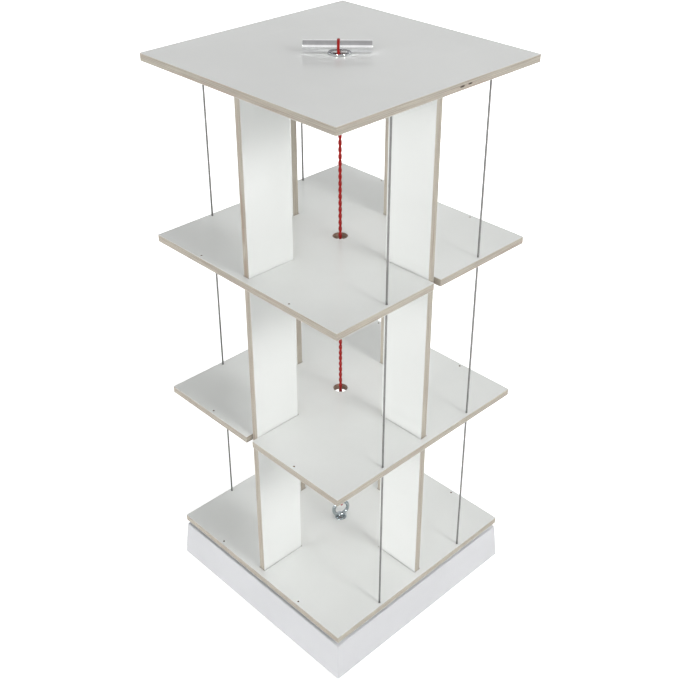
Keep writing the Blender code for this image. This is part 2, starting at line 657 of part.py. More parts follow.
def main():
    clear_scene()
    laminate = finish("white_laminate", (0.80, 0.81, 0.80), 0.45)
    rod_steel = finish("rod_steel", (0.45, 0.45, 0.45), 0.35, 1.0)
    polished = finish("polished_metal", (0.85, 0.85, 0.86), 0.08, 1.0)
    zinc = finish("zinc_plate", (0.62, 0.66, 0.70), 0.30, 1.0)
    red_cord = finish("red_cord", (0.42, 0.03, 0.03), 0.85)
    bearing_steel = finish("bearing_steel", (0.55, 0.56, 0.57), 0.30, 1.0)
    cage_plastic = finish("cage_plastic", (0.10, 0.10, 0.10), 0.50)
    plinth_paint = finish("plinth_paint", (0.74, 0.74, 0.78), 0.45)
    glide_plastic = finish("glide_plastic", (0.12, 0.12, 0.12), 0.60)

    base = pivot("base", 0.0)
    tower = pivot("tower_turn", BALL_Z, base)
    cage = pivot("cage_turn", BALL_Z, base)
    bar = pivot("bar_turn", BAR_Z, tower)

    shelf_hole = CORD_HOLE_DIAMETER / 2
    bottom_board = make_board("bottom_board", EYE_SHANK_DIAMETER / 2 + FIT_GAP, laminate, tower)
    add_bottom_board_cuts(bottom_board)
    make_board("lower_shelf", shelf_hole, laminate, tower)
    make_board("upper_shelf", shelf_hole, laminate, tower)
    make_board("top_board", SLEEVE_RADIUS + FIT_GAP, laminate, tower)
    for name, side, below, above in PANELS:
        make_panel(name, side, below, above, laminate, tower)
    make_rods(rod_steel, tower)

    make_rosette(polished, bar)
    make_bar(polished, bar)
    make_eye_bolt(zinc, tower)
    make_eye_fastening(zinc, tower)
    make_cord("cord", cord_points(), red_cord, tower)
    make_cord("cord_loop", loop_points(), red_cord, bar)

    make_ring("lower_ring", RACE_RADIUS - RACE_LAND, RACE_RADIUS + RING_FLANGE + RACE_LAND, LOWER_RING_Z, True,
              LOWER_SCREW_RADIUS, bearing_steel, base)
    make_ring("upper_ring", RACE_RADIUS - RING_FLANGE - RACE_LAND, RACE_RADIUS + RACE_LAND, UPPER_RING_Z, False,
              UPPER_SCREW_RADIUS, bearing_steel, tower)
    make_screws("lower_screw", LOWER_SCREW_RADIUS, LOWER_RING_Z + RING_THICKNESS,
                RING_THICKNESS + FIT_GAP + PLINTH_SHEET + SCREW_TAIL, True, bearing_steel, base)
    make_screws("upper_screw", UPPER_SCREW_RADIUS, UPPER_RING_Z,
                RING_THICKNESS + FIT_GAP + SCREW_BITE, False, bearing_steel, tower)
    make_cage(cage_plastic, cage)
    make_balls(bearing_steel, cage)
    make_plinth(plinth_paint, base)
    make_glides(glide_plastic, base)


main()
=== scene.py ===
import json
from math import cos, pi, radians, sin, sqrt, tau

import bmesh
import bpy
from mathutils import Matrix, Vector
from mathutils.geometry import tessellate_polygon

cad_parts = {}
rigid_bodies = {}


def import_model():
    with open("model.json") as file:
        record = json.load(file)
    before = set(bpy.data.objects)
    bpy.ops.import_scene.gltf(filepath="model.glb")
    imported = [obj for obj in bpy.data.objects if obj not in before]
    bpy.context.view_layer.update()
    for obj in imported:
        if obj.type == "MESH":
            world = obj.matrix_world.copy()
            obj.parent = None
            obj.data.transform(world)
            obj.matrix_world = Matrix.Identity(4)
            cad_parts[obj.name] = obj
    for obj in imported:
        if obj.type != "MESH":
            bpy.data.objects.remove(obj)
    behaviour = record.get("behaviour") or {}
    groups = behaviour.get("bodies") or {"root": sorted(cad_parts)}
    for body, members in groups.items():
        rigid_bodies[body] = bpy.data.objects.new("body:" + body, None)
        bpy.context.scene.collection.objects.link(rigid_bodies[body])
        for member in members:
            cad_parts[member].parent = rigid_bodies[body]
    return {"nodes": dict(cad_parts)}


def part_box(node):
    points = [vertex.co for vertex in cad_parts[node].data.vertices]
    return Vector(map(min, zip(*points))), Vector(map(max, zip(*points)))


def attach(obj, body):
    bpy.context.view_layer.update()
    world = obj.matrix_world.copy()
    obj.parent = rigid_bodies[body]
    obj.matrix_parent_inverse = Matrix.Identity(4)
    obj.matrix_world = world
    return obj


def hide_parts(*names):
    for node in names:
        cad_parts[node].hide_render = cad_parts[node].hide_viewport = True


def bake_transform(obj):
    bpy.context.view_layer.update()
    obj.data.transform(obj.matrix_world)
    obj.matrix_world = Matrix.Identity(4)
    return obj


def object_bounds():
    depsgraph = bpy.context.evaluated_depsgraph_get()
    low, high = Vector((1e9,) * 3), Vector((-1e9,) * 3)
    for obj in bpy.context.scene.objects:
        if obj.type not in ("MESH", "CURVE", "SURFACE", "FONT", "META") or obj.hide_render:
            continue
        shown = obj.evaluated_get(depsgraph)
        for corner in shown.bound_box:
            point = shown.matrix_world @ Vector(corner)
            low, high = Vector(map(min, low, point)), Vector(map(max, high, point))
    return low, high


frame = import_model()
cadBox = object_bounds()
nodes = frame["nodes"]
print("frame loaded,", len(nodes), "nodes")


class Wire:
    # one output of a shader node: sums on it add Math nodes, node() adds any other kind
    def __init__(self, tree, socket=None):
        self.tree = tree
        self.socket = socket

    def node(self, kind, settings=None, sockets=None, output=0):
        made = self.tree.nodes.new("ShaderNode" + kind)
        for key, value in (settings or {}).items():
            setattr(made, key, value)
        for key, value in (sockets or {}).items():
            if isinstance(value, Wire):
                self.tree.links.new(value.socket, made.inputs[key])
            else:
                made.inputs[key].default_value = value
        return Wire(self.tree, made.outputs[output] if made.outputs else None)

    def also(self, output):  # another output of the same node
        return Wire(self.tree, self.socket.node.outputs[output])

    def maths(self, operation, *others):
        return self.node("Math", {"operation": operation}, dict(enumerate((self, *others))))

    def mathsAfter(self, operation, other):  # the same with this value second
        return self.node("Math", {"operation": operation}, {0: other, 1: self})

    def __add__(self, other):
        return self.maths("ADD", other)

    __radd__ = __add__

    def __sub__(self, other):
        return self.maths("SUBTRACT", other)

    def __rsub__(self, other):
        return self.mathsAfter("SUBTRACT", other)

    def __mul__(self, other):
        return self.maths("MULTIPLY", other)

    __rmul__ = __mul__

    def __truediv__(self, other):
        return self.maths("DIVIDE", other)

    def __rtruediv__(self, other):
        return self.mathsAfter("DIVIDE", other)

    def step(self, start, end):  # 0 below start, 1 above end, soft between
        sockets = {"Value": self, "From Min": start, "From Max": end}
        return self.node("MapRange", {"interpolation_type": "SMOOTHSTEP"}, sockets)

    def between(self, start, end, fade):  # 1 from start to end, fading just inside them
        return self.step(start, start + fade) * (1 - self.step(end - fade, end))

    def tint(self, first, second):  # colour from first to second by this mask
        return self.node("Mix", {"data_type": "RGBA"}, {0: self, 6: first, 7: second}, 2)

    def stretch(self, scale, offset=(0, 0, 0)):
        scaled = self.node("VectorMath", {"operation": "MULTIPLY"}, {0: self, 1: scale})
        return scaled.node("VectorMath", {"operation": "ADD"}, {0: scaled, 1: offset})

    def noise(self, scale=1.0, detail=2.0, rough=0.5):  # grey noise at this place
        sockets = {"Vector": self, "Scale": scale, "Detail": detail, "Roughness": rough}
        return self.node("TexNoise", {}, sockets)


def rgb(red, green, blue):
    return (red, green, blue, 1.0)


def grey(level):
    return rgb(level, level, level)


def newFinish(name):
    material = bpy.data.materials.new(name)
    material.use_nodes = True
    material.node_tree.nodes.clear()
    return material, Wire(material.node_tree)


def coverWith(start, sockets, relief, look):
    # closes a finish: Principled shader with a Bump, and the output
    bump = {"Height": relief, "Distance": look["relief"], "Strength": look["bump"]}
    sockets["Normal"] = start.node("Bump", {}, bump)
    surface = start.node("BsdfPrincipled", {}, sockets)
    start.node("OutputMaterial", {}, {"Surface": surface})


# finishes: scales are per metre, reliefs in metres, and a mask goes from 0 to 1 over its turn

laminateLook = {
    "pale": rgb(0.826, 0.839, 0.823),
    "dull": rgb(0.796, 0.810, 0.793),
    "roughness": 0.15,
    "spread": 0.05,  # what clouds, scuffs and pearls each add to the roughness
    "clouds": 4.0,
    "cloudTurn": (0.35, 0.7),
    "scuffs": (60, 9, 60),
    "scuffTurn": (0.60, 0.72),
    "pearls": 1400.0,  # fine texture of the pressed sheet
    "specular": 0.5,
    "relief": 0.00003,
    "bump": 0.35,
}


def makeLaminate(look):
    material, start = newFinish("whiteLaminate")
    place = start.node("TexCoord", output="Object")
    cloud = place.noise(look["clouds"], detail=4.0)
    scuff = place.stretch(look["scuffs"]).noise(detail=5.0, rough=0.6).step(*look["scuffTurn"])
    pearl = place.noise(look["pearls"], rough=0.6)
    coverWith(start, {
        "Base Color": cloud.step(*look["cloudTurn"]).tint(look["pale"], look["dull"]),
        "Roughness": look["roughness"] + look["spread"] * (cloud + scuff + pearl),
        "Specular IOR Level": look["specular"],
    }, pearl, look)
    return material


plyLook = {
    "plies": 9,
    "skin": 0.0008,  # laminate sheet on each face
    "thickness": 0.015,
    "long": rgb(0.522, 0.494, 0.430),  # veneers that run along the edge
    "cross": rgb(0.432, 0.400, 0.342),  # veneers cut across
    "glue": rgb(0.270, 0.195, 0.140),
    "rose": rgb(0.500, 0.418, 0.355),  # reddish heartwood patches
    "pale": rgb(0.640, 0.610, 0.510),  # sapwood patches
    "sheet": rgb(0.680, 0.676, 0.655),  # cut edge of the laminate
    # painted shade inside an open knot
    "void": rgb(0.050, 0.036, 0.027),
    "rosePatches": (5, 1, 1),
    "palePatches": (11, 1, 1),
    "paleOffset": (7, 3, 0),  # so that pale patches don't follow the rose ones
    "patchHop": (3.7, 2.0),  # from one veneer's patches to the next one's, and across the edge
    "fibres": (90.0, 70.0),  # along and across, in the veneers that run along the edge
    "fibreHop": 2.3,
    "pores": (2300.0, 46.0),  # as the fibres, in the veneers cut across
    "roseTurn": (0.50, 0.72),
    "paleTurn": (0.48, 0.70),
    "dimTurn": (0.52, 0.74),
    "grainTurn": (0.50, 0.74),
    "seamTurn": (0.36, 0.49),
    "paleShare": 0.55,  # how much of its colour a patch, a dim patch or the grain takes on
    "dimShare": 0.45,
    "grainShare": 0.38,
    "seamShare": (0.35, 0.5),  # the same for a glue seam, at least, and what the tone adds
    "streakShare": (0.45, 0.4),  # and for a streak, at least, and what the fibres add
    "streakDim": 0.42,
    "streakSoft": (0.02, 0.06),  # softness of its ends, in metres, and sides, as a share of the thickness
    "sheetSoft": 0.004,  # softness of the laminate's line, as such a share
    "voidFray": 0.5,
    "voidTurn": (0.8, 1.5),
    "voidDepth": 3.0,  # times a seam's, as the grain's
    "grainDepth": 0.55,
    "roughness": 0.62,
    "sheetGloss": 0.2,
    "grainRough": 0.15,
    "specular": 0.35,
    "relief": 0.00012,
    "bump": 0.6,
}
shadedBoreLook = {  # painted shade: darker wood colours on the hole walls, standing in for the shade inside the bores
    **plyLook,
    "long": rgb(0.300, 0.215, 0.160),
    "cross": rgb(0.235, 0.165, 0.120),
    "rose": rgb(0.300, 0.170, 0.120),
}
topVoids = [  # open knots in the right edge of the top board, their near-black inside painted shade
    {"along": 0.2880, "across": 0.47, "length": 0.0062, "width": 0.115},
    {"along": 0.3080, "across": 0.50, "length": 0.0056, "width": 0.105},
]
panelStreaks = [  # dark veneer low in the front edge of the upper front panel
    {"along": (0.890, 1.006), "across": (0.16, 0.58)},
    {"along": (0.810, 0.880), "across": (0.22, 0.75)},
]


def makePlyEdge(name, look, voids=(), streaks=()):
    # runs on the edgeRun map: u in metres along the edge, v from one face to the other
    material, start = newFinish(name)
    run = start.node("UVMap", {"uv_map": "edgeRun"})
    along = start.node("SeparateXYZ", {}, {"Vector": run})
    across = along.also("Y")

    def placeOf(x, y, z):
        return start.node("CombineXYZ", {}, {"X": x, "Y": y, "Z": z})

    skin = look["skin"] / look["thickness"]
    depth = (across - skin) * (look["plies"] / (1 - 2 * skin))
    ply = depth.maths("FLOOR")
    crossCut = ply.maths("MODULO", 2.0).maths("ABSOLUTE")  # every second veneer
    seam = (depth - ply - 0.5).maths("ABSOLUTE").step(*look["seamTurn"])
    flow = placeOf(along, ply * look["patchHop"][0], across * look["patchHop"][1])
    tone = flow.stretch(look["rosePatches"]).noise(detail=3.0)
    shade = flow.stretch(look["palePatches"], look["paleOffset"]).noise()
    fibre = placeOf(along * look["fibres"][0], across * look["fibres"][1], ply * look["fibreHop"])
    fibre = fibre.noise(detail=4.0, rough=0.65)
    pores = placeOf(along * look["pores"][0], across * look["pores"][1], ply).noise(detail=1.0)
    grain = crossCut * pores + (1 - crossCut) * fibre

    wood = crossCut.tint(look["long"], look["cross"])
    wood = tone.step(*look["roseTurn"]).tint(wood, look["rose"])
    wood = (shade.step(*look["paleTurn"]) * look["paleShare"]).tint(wood, look["pale"])
    wood = ((1 - shade).step(*look["dimTurn"]) * look["dimShare"]).tint(wood, look["glue"])
    wood = (grain.step(*look["grainTurn"]) * look["grainShare"]).tint(wood, look["glue"])
    least, more = look["seamShare"]
    wood = (seam * (least + more * tone)).tint(wood, look["glue"])
    least, more = look["streakShare"]
    endSoft, sideSoft = look["streakSoft"]
    for streak in streaks:
        mask = along.between(*streak["along"], endSoft) * across.between(*streak["across"], sideSoft)
        wood = (mask * (least + more * fibre)).tint(wood, look["rose"])
        wood = (mask * look["streakDim"]).tint(wood, look["glue"])
    relief = look["grainDepth"] * grain - seam
    for void in voids:
        far = ((along - void["along"]) / void["length"]).maths("POWER", 2.0)
        far = far + ((across - void["across"]) / void["width"]).maths("POWER", 2.0)
        # inside a knot: a dip in the relief, and painted shade in its colour
        hollow = 1 - (far + look["voidFray"] * fibre).step(*look["voidTurn"])
        wood = hollow.tint(wood, look["void"])
        relief = relief - look["voidDepth"] * hollow

    soft = look["sheetSoft"]
    sheet = (across - 0.5).maths("ABSOLUTE").step(0.5 - skin - soft, 0.5 - skin + soft)
    coverWith(start, {
        "Base Color": sheet.tint(wood, look["sheet"]),
        "Roughness": look["roughness"] - look["sheetGloss"] * sheet + look["grainRough"] * grain,
        "Specular IOR Level": look["specular"],
    }, relief * (1 - sheet), look)
    return material


metalLook = {  # lines with a low last scale are drawn out along the piece's own z
    "polishedMetal": {
        "light": rgb(0.86, 0.86, 0.87), "dark": rgb(0.74, 0.74, 0.76),
        "roughness": 0.07, "spread": 0.06, "lines": (900, 900, 3), "relief": 0.000004,
    },
    "bushMetal": {
        "light": rgb(0.66, 0.67, 0.68), "dark": rgb(0.50, 0.51, 0.52),
        "roughness": 0.07, "spread": 0.06, "lines": (900, 900, 900), "relief": 0.000004,
    },
    "zincPlate": {
        "light": rgb(0.50, 0.55, 0.57), "dark": rgb(0.27, 0.31, 0.33),
        "roughness": 0.12, "spread": 0.10, "lines": (160, 160, 160), "relief": 0.000030,
    },
    "rodSteel": {
        "light": rgb(0.245, 0.244, 0.240), "dark": rgb(0.175, 0.174, 0.171),
        "roughness": 0.32, "spread": 0.14, "lines": (2600, 2600, 14), "relief": 0.000014,
    },
    "bearingSteel": {
        "light": rgb(0.62, 0.63, 0.64), "dark": rgb(0.47, 0.48, 0.49),
        "roughness": 0.26, "spread": 0.14, "lines": (300, 300, 300), "relief": 0.000014,
    },
}
metalWear = {
    "smudges": 45.0,
    "tintShares": (0.5, 0.5),  # of the smudges and the lines
    "tintTurn": (0.38, 0.66),
    "roughShares": (0.6, 0.4),
    "roughMiddle": 0.3,
    "bump": 0.6,
}


def makeMetal(name):
    # smudged metal with fine lines
    look = {**metalWear, **metalLook[name]}
    material, start = newFinish(name)
    place = start.node("TexCoord", output="Object")
    smudge = place.noise(look["smudges"], detail=4.0, rough=0.6)
    lines = place.stretch(look["lines"]).noise(detail=3.0, rough=0.6)

    def worn(shares):
        return shares[0] * smudge + shares[1] * lines

    coverWith(start, {
        "Base Color": worn(look["tintShares"]).step(*look["tintTurn"]).tint(look["light"], look["dark"]),
        "Metallic": 1.0,
        "Roughness": look["roughness"] + look["spread"] * (worn(look["roughShares"]) - look["roughMiddle"]),
    }, lines, look)
    return material


paintLook = {
    "light": rgb(0.632, 0.637, 0.655),
    "dark": rgb(0.610, 0.615, 0.632),
    "roughness": 0.40,
    "cloudSpread": 0.10,
    "peelSpread": 0.08,
    "clouds": 7.0,
    "cloudTurn": (0.35, 0.68),
    "peel": (620.0, 1500.0),  # orange peel of the powder coat, coarse and fine
    "peelShares": (0.6, 0.4),
    "relief": 0.00007,
    "bump": 0.5,
}


def makePaint(look):
    material, start = newFinish("plinthPaint")
    place = start.node("TexCoord", output="Object")
    cloud = place.noise(look["clouds"], detail=3.0)
    coarse, fine = look["peelShares"]
    peel = coarse * place.noise(look["peel"][0]) + fine * place.noise(look["peel"][1], detail=1.0)
    spread = look["cloudSpread"] * (cloud - 0.5) + look["peelSpread"] * (peel - 0.5)
    coverWith(start, {
        "Base Color": cloud.step(*look["cloudTurn"]).tint(look["light"], look["dark"]),
        "Roughness": look["roughness"] + spread,
    }, peel, look)
    return material


plasticLook = {
    "cagePlastic": {"light": rgb(0.085, 0.085, 0.088), "dark": rgb(0.060, 0.060, 0.063), "roughness": 0.45},
    "glidePlastic": {"light": rgb(0.105, 0.104, 0.102), "dark": rgb(0.070, 0.070, 0.069), "roughness": 0.58},
}
plasticGrain = {
    "clouds": 60.0,
    "cloudTurn": (0.35, 0.65),
    "cloudSpread": 0.10,
    "etch": 2600.0,
    "etchSpread": 0.06,
    "relief": 0.00004,
    "bump": 0.5,
}


def makePlastic(name):
    look = {**plasticGrain, **plasticLook[name]}
    material, start = newFinish(name)
    place = start.node("TexCoord", output="Object")
    cloud = place.noise(look["clouds"], detail=3.0)
    etch = place.noise(look["etch"])
    spread = look["cloudSpread"] * (cloud - 0.5) + look["etchSpread"] * etch
    coverWith(start, {
        "Base Color": cloud.step(*look["cloudTurn"]).tint(look["light"], look["dark"]),
        "Roughness": look["roughness"] + spread,
    }, etch, look)
    return material


cordLook = {
    "red": rgb(0.395, 0.0105, 0.0080),
    # painted shade: darker red in the crevices between the braid's yarns
    "deep": rgb(0.190, 0.0050, 0.0042),
    "worn": rgb(0.510, 0.0220, 0.0160),
    "carriers": 8.0,  # yarns round the braid in each direction
    "plait": 0.0026,  # metres along the strand for one diamond of the braid
    "overTurn": (-0.15, 0.15),
    "yarnTurn": (0.15, 0.75),
    "clouds": (14.0, 0.3),  # along the strand and round it, as the fuzz
    "cloudTurn": (0.45, 0.75),
    "cloudShare": 0.6,
    "fuzz": (900.0, 3.0),
    "fuzzTurn": (0.55, 0.8),
    "fuzzShare": 0.4,
    "fuzzDepth": 0.4,  # times a yarn's
    "fuzzRough": 0.15,
    "roughness": 0.72,
    "sheen": 0.35,
    "sheenRough": 0.4,
    "specular": 0.3,
    "relief": 0.00022,
    "bump": 0.8,
}


def makeCordFinish(look):
    # braided sheath on the strandRun map: u in metres along the strand, v once round it
    material, start = newFinish("redCord")
    run = start.node("UVMap", {"uv_map": "strandRun"})
    along = start.node("SeparateXYZ", {}, {"Vector": run})
    around = along.also("Y") * look["carriers"]
    travel = along / look["plait"]

    def wave(value):
        return (value * pi).maths("SINE")

    def placeOf(scales):
        return start.node("CombineXYZ", {}, {"X": along * scales[0], "Y": around * scales[1]})

    right = wave(travel + around).maths("ABSOLUTE")
    left = wave(travel - around).maths("ABSOLUTE")
    over = (wave(travel) * wave(around)).step(*look["overTurn"])  # which of the two yarns lies on top
    yarn = over * right + (1 - over) * left
    fuzz = placeOf(look["fuzz"]).noise(detail=4.0, rough=0.7)
    cloud = placeOf(look["clouds"]).noise(detail=3.0)
    # painted shade in the crevices between yarns, red on their crowns
    colour = yarn.step(*look["yarnTurn"]).tint(look["deep"], look["red"])
    colour = (cloud.step(*look["cloudTurn"]) * look["cloudShare"]).tint(colour, look["worn"])
    colour = (fuzz.step(*look["fuzzTurn"]) * look["fuzzShare"]).tint(colour, look["worn"])
    coverWith(start, {
        "Base Color": colour,
        "Roughness": look["roughness"] + look["fuzzRough"] * fuzz,
        "Sheen Weight": look["sheen"],
        "Sheen Roughness": look["sheenRough"],
        "Specular IOR Level": look["specular"],
    }, yarn + look["fuzzDepth"] * fuzz, look)
    return material


laminate = makeLaminate(laminateLook)
plyEdge = makePlyEdge("plyEdge", plyLook)
# hole walls, with the shade inside the bores painted into their colours
shadedPlyBore = makePlyEdge("shadedPlyBore", shadedBoreLook)
topEdge = makePlyEdge("plyEdgeTop", plyLook, voids=topVoids)
streakEdge = makePlyEdge("plyEdgeStreaked", plyLook, streaks=panelStreaks)
metals = {name: makeMetal(name) for name in metalLook}
plastics = {name: makePlastic(name) for name in plasticLook}
plinthPaint = makePaint(paintLook)
redCord = makeCordFinish(cordLook)
print("finishes made")


# mesh helpers

hardEdge = radians(35)  # edges sharper than this are shaded hard
allSmooth = radians(180)


def joinRings(bm, first, second, slot=0):
    # quads between two rings of points, or a fan where one of them is a single point
    faces = []
    count = max(len(first), len(second))
    for i in range(count):
        j = (i + 1) % count
        if len(first) == 1:
            corners = (first[0], second[j], second[i])
        elif len(second) == 1:
            corners = (first[i], first[j], second[0])
        else:
            corners = (first[i], first[j], second[j], second[i])
        face = bm.faces.new(corners)
        face.material_index = slot
        faces.append(face)
    return faces


def ringAt(bm, points, height):
    return [bm.verts.new((x, y, height)) for x, y in points]


def circleAt(bm, radius, height, sides, centre=(0, 0)):
    # a ring of points, or a single one where the radius is 0
    if not radius:
        return [bm.verts.new((*centre, height))]
    angles = [tau * i / sides for i in range(sides)]
    plan = [(centre[0] + radius * cos(a), centre[1] + radius * sin(a)) for a in angles]
    return ringAt(bm, plan, height)


def addTurned(bm, outline, sides, closed=False):
    # turns an outline of (radius, height) points about z
    rings = [circleAt(bm, radius, height, sides) for radius, height in outline]
    for first, second in zip(rings, rings[1:] + rings[:1] if closed else rings[1:]):
        joinRings(bm, first, second)
    return [v for ring in rings for v in ring]


def arc(centre, radii, start, end, steps):
    angles = [start + (end - start) * i / steps for i in range(steps + 1)]
    return [(centre[0] + radii[0] * cos(a), centre[1] + radii[1] * sin(a)) for a in angles]


def withNeighbours(points):
    return zip(points[-1:] + points[:-1], points, points[1:] + points[:1])


def insetLoop(points, depth):
    # moves every side of a plan outline inwards, for an outline that runs anticlockwise
    moved = []
    for before, here, after in withNeighbours(points):
        first, second = (here - before).normalized(), (after - here).normalized()
        normals = Vector((-first.y, first.x)), Vector((-second.y, second.x))
        moved.append(here + (normals[0] + normals[1]) * (depth / (1 + normals[0].dot(normals[1]))))
    return moved


def roundCorners(points, radius, steps):
    rounded = []
    for before, here, after in withNeighbours(points):
        first, second = (before - here).normalized() * radius, (after - here).normalized() * radius
        for i in range(steps + 1):
            t = i / steps
            rounded.append(here + first * (1 - t) ** 2 + second * t ** 2)  # a quadratic bend
    return rounded


def turned(points, quarter):
    # quarter turns of plan points about the upright axis
    points = [Vector(p) for p in points]
    for _ in range(quarter):
        points = [Vector((-p.y, p.x)) for p in points]
    return points


def runOf(points, start=0.0):
    # length of a closed outline up to each of its points, and back at the first
    lengths = [start]
    for here, after in zip(points, points[1:] + points[:1]):
        lengths.append(lengths[-1] + (after - here).length)
    return lengths


def titleOf(node):
    words = node.split("_")
    return words[0] + "".join(word.capitalize() for word in words[1:])


def meshOf(name, bm, finishes=()):
    mesh = bpy.data.meshes.new(name)
    bm.to_mesh(mesh)
    bm.free()
    for finish in finishes:
        mesh.materials.append(finish)
    return mesh


def addObject(name, data):
    made = bpy.data.objects.new(name, data)
    bpy.context.scene.collection.objects.link(made)
    return made


def newPiece(name, bm, finishes, smooth=hardEdge):
    bmesh.ops.recalc_face_normals(bm, faces=bm.faces)
    mesh = meshOf(name, bm, finishes)
    mesh.shade_smooth()
    mesh.set_sharp_from_angle(angle=smooth)
    piece = addObject(name, mesh)
    return piece


def seat(piece, body, *replaced):
    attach(piece, body)
    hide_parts(*replaced)


def moveOver(bm, low, high):
    # from the upright axis to the middle of a node's box
    centre = (low + high) / 2
    bmesh.ops.translate(bm, verts=bm.verts, vec=(centre.x, centre.y, 0))


def applyModifiers(piece):
    bpy.context.view_layer.objects.active = piece
    for modifier in list(piece.modifiers):
        bpy.ops.object.modifier_apply(modifier=modifier.name)


# boards: laminated both sides, layered edges, notches, grooves and holes

boardShape = {
    "arris": 0.0004,  # rounding of the long edges
    "holeArris": 0.0005,
    "arrisBulge": 0.3,  # share of an arris at which its middle point lies
    "corner": 0.0008,
    "cornerSteps": 4,
    "joint": 0.00007,  # half width and depth of the line at each glue joint
    "gap": 0.0014,  # round a panel's end in its groove
    "smooth": radians(20),  # sharper edges than this are shaded hard, which keeps the wide faces flat
    "holes": {"top_board": 0.0169, "upper_shelf": 0.015, "lower_shelf": 0.015, "bottom_board": 0.0043},
    "holeSides": 64,
    "rodGap": 0.0003,
    "rodArris": 0.0002,
    "rodSides": 20,
    "nutBore": 0.011,  # counterbore for the eye bolt's nut
    "nutDepth": 0.006,
    "pilot": 0.0023,  # holes for the upper ring's screws
    "runs": {"top_board": 0.0, "upper_shelf": 3.1, "lower_shelf": 6.4, "bottom_board": 9.9},  # veneer start
}
faceSlot, edgeSlot, boreSlot = 0, 1, 2  # finishes of a board, and the first two of a panel
quarters = {"right": 0, "back": 1, "left": 2, "front": 3}
panelNames = (
    "front_short_panel", "front_long_panel", "right_long_panel", "right_short_panel",
    "back_short_panel", "back_long_panel", "left_long_panel", "left_short_panel",
)


def panelPlace(name):
    # quarter turn, and outer edge, inner edge and half thickness from the upright axis
    low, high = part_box(name)
    reach = sorted(abs(v) for v in (low.x, high.x, low.y, high.y))
    return quarters[name.split("_")[0]], reach[3], reach[2], reach[0]


def edgeLevels(thickness):
    # (height, inset) up a cut edge: rounded arris, then a fine line at each glue joint
    arris, line = boardShape["arris"], boardShape["joint"]
    skin, plies = plyLook["skin"], plyLook["plies"]
    bulge = arris * boardShape["arrisBulge"]
    lower = [(0, arris), (bulge, bulge), (arris, 0)]
    core = thickness - 2 * skin
    joints = [skin + core * i / plies for i in range(plies + 1)]
    lines = [level for z in joints for level in ((z - line, 0), (z, line), (z + line, 0))]
    return lower + lines + [(thickness - z, inset) for z, inset in reversed(lower)]


def mapRun(bm, faces, lengths, heights):
    # writes the edgeRun map on a band of quads made by joinRings
    layer = bm.loops.layers.uv.get("edgeRun") or bm.loops.layers.uv.new("edgeRun")
    low, high = heights
    for face, here, after in zip(faces, lengths, lengths[1:]):
        for loop, value in zip(face.loops, ((here, low), (after, low), (after, high), (here, high))):
            loop[layer].uv = value


def fillCap(bm, loops):
    verts = [v for loop in loops for v in loop]
    for triangle in tessellate_polygon([[v.co for v in loop] for loop in loops]):
        bm.faces.new([verts[i] for i in triangle]).material_index = faceSlot


def panelCuts(low, high):
    # open notches by quarter, and grooves as (plan, height of the mouth, height of the end)
    gap = boardShape["gap"]
    notches, grooves = {}, []
    for name in panelNames:
        foot, head = (corner.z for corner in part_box(name))
        quarter, outer, inner, half = panelPlace(name)
        near, far, side = inner - gap, outer + gap, half + gap
        plan = turned([(near, -side), (far, -side), (far, side), (near, side)], quarter)
        if foot < low.z and head > high.z:
            notches[quarter] = (near, side)
        elif low.z < foot < high.z:
            grooves.append((plan, high.z, foot - gap))
        elif low.z < head < high.z:
            grooves.append((plan, low.z, head + gap))
    return notches, grooves


def boardPlan(half, notches):
    plan = []
    for quarter in range(4):
        side = [(half, -half)]
        if quarter in notches:
            inner, width = notches[quarter]
            side += [(half, -width), (inner, -width), (inner, width), (half, width)]
        plan += turned(side, quarter)
    return roundCorners(plan, boardShape["corner"], boardShape["cornerSteps"])


def rodHole(z0, z1):
    # outline of (radius, height), which ends on the axis where the hole is blind
    low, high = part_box("right_rod_1")
    gap, arris = boardShape["rodGap"], boardShape["rodArris"]
    radius = (high.x - low.x) / 2 + gap
    upper = [(radius + arris, z1), (radius, z1 - arris)]
    lower = [(radius + arris, z0), (radius, z0 + arris)]
    if low.z > z0:
        return upper + [(radius, low.z - gap), (0, low.z - gap)]
    if high.z < z1:
        return lower + [(radius, high.z + gap), (0, high.z + gap)]
    return upper + lower[::-1]


def boardHoles(name, z0, z1):
    # (centre, outline, sides) of each hole
    shape, holes = boardShape, []
    for quarter in range(4):  # every side takes a pair of rods
        for rod in ("right_rod_1", "right_rod_2"):
            low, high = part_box(rod)
            centre = turned([(low.xy + high.xy) / 2], quarter)[0]
            holes.append((centre, rodHole(z0, z1), shape["rodSides"]))
    radius, arris = shape["holes"][name], shape["holeArris"]
    bulge = arris * shape["arrisBulge"]
    rim = [(radius + arris, 0), (radius + bulge, bulge), (radius, arris)]
    middle = [(r, z1 - depth) for r, depth in rim] + [(r, z0 + depth) for r, depth in reversed(rim)]
    if name == "bottom_board":
        ledge = z0 + shape["nutDepth"]
        middle = [(radius, z1), (radius, ledge), (shape["nutBore"], ledge), (shape["nutBore"], z0)]
        for i in range(1, 5):
            low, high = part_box(f"upper_screw_{i}")
            end = high.z + shape["rodGap"]
            pilot = [(shape["pilot"], z0), (shape["pilot"], end), (0, end)]
            holes.append(((low.xy + high.xy) / 2, pilot, shape["rodSides"]))
    holes.append((Vector((0, 0)), middle, shape["holeSides"]))
    return holes


